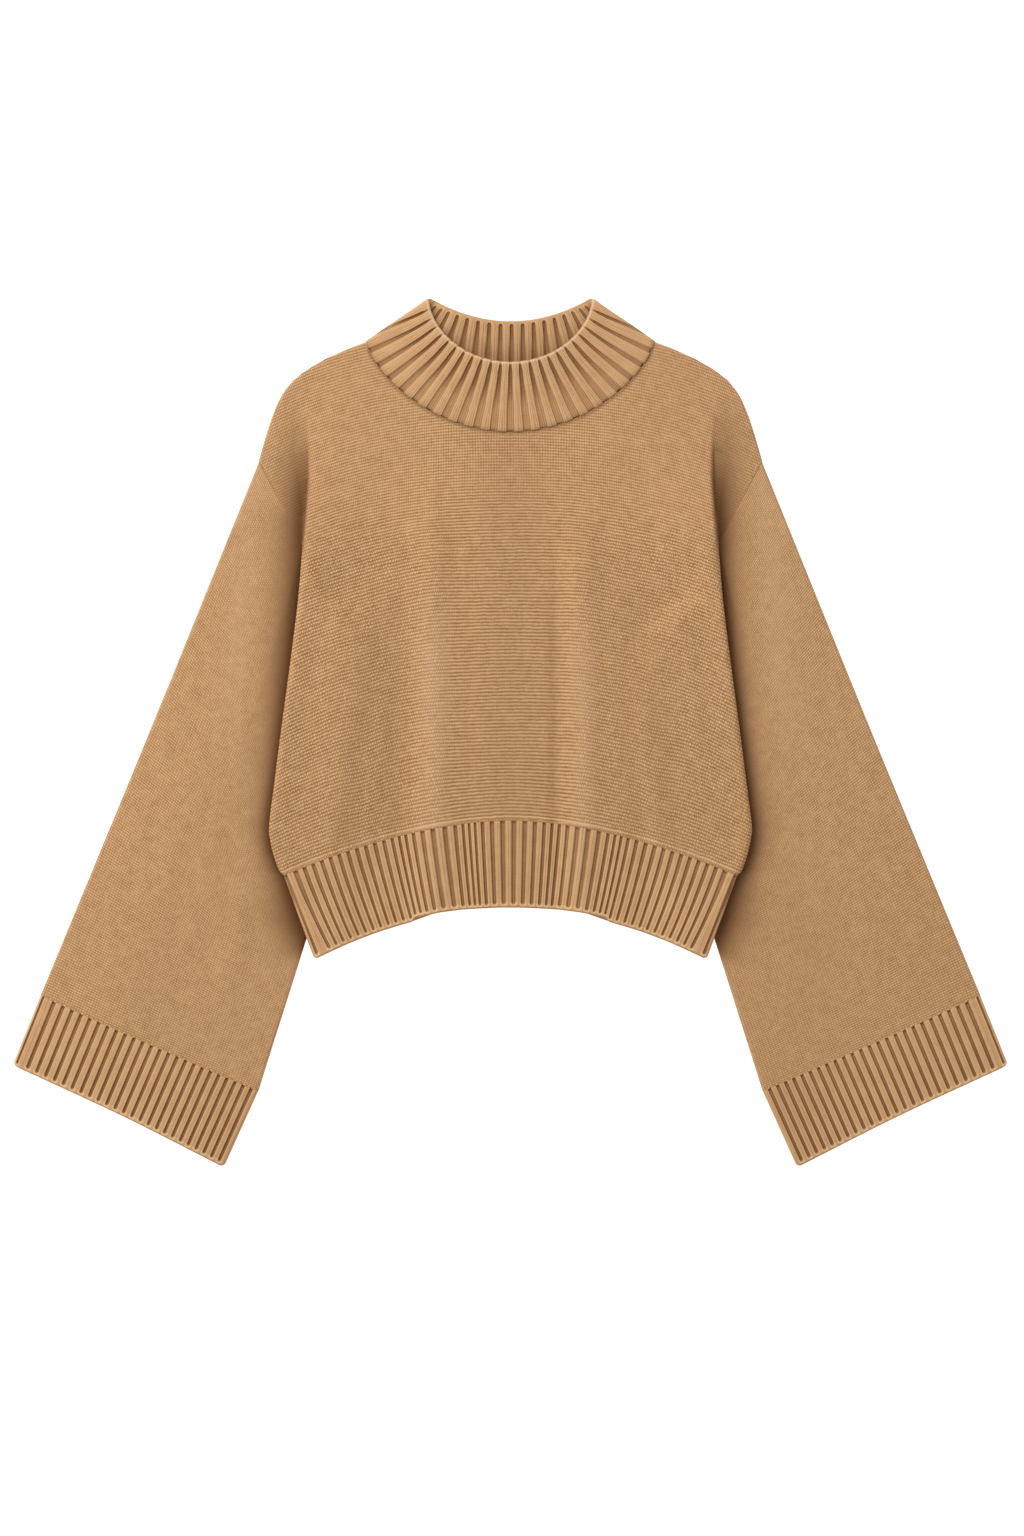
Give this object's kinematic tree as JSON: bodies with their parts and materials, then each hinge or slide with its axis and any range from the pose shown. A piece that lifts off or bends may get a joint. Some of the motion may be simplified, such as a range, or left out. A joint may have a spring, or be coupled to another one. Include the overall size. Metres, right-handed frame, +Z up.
{
  "type": "cropped knit sweater",
  "caption": "Cropped, wide-sleeved knit sweater laid flat, with a ribbed mock neck, ribbed hem band and ribbed cuffs; the body lies on the sleeves.",
  "frame": {"origin": "on the surface the sweater lies on, under the middle of its whole outline", "axes": "+X runs across the sweater towards the cuff on the right as seen from above, +Y runs from the hem towards the collar, +Z is up from the surface through the front"},
  "size_m": [0.8936, 0.7786, 0.0191],
  "materials": {
    "camel_knit": "matt plain knit, soft camel-brown yarn",
    "camel_rib": "matt rib knit, soft camel-brown yarn, darker in its grooves"
  },
  "bodies": {
    "root": {"front": "camel_knit", "back": "camel_knit", "sleeve_left": "camel_knit", "sleeve_right": "camel_knit", "collar": "camel_rib", "hem_band": "camel_rib", "cuff_left": "camel_rib", "cuff_right": "camel_rib"}
  },
  "joints": []
}
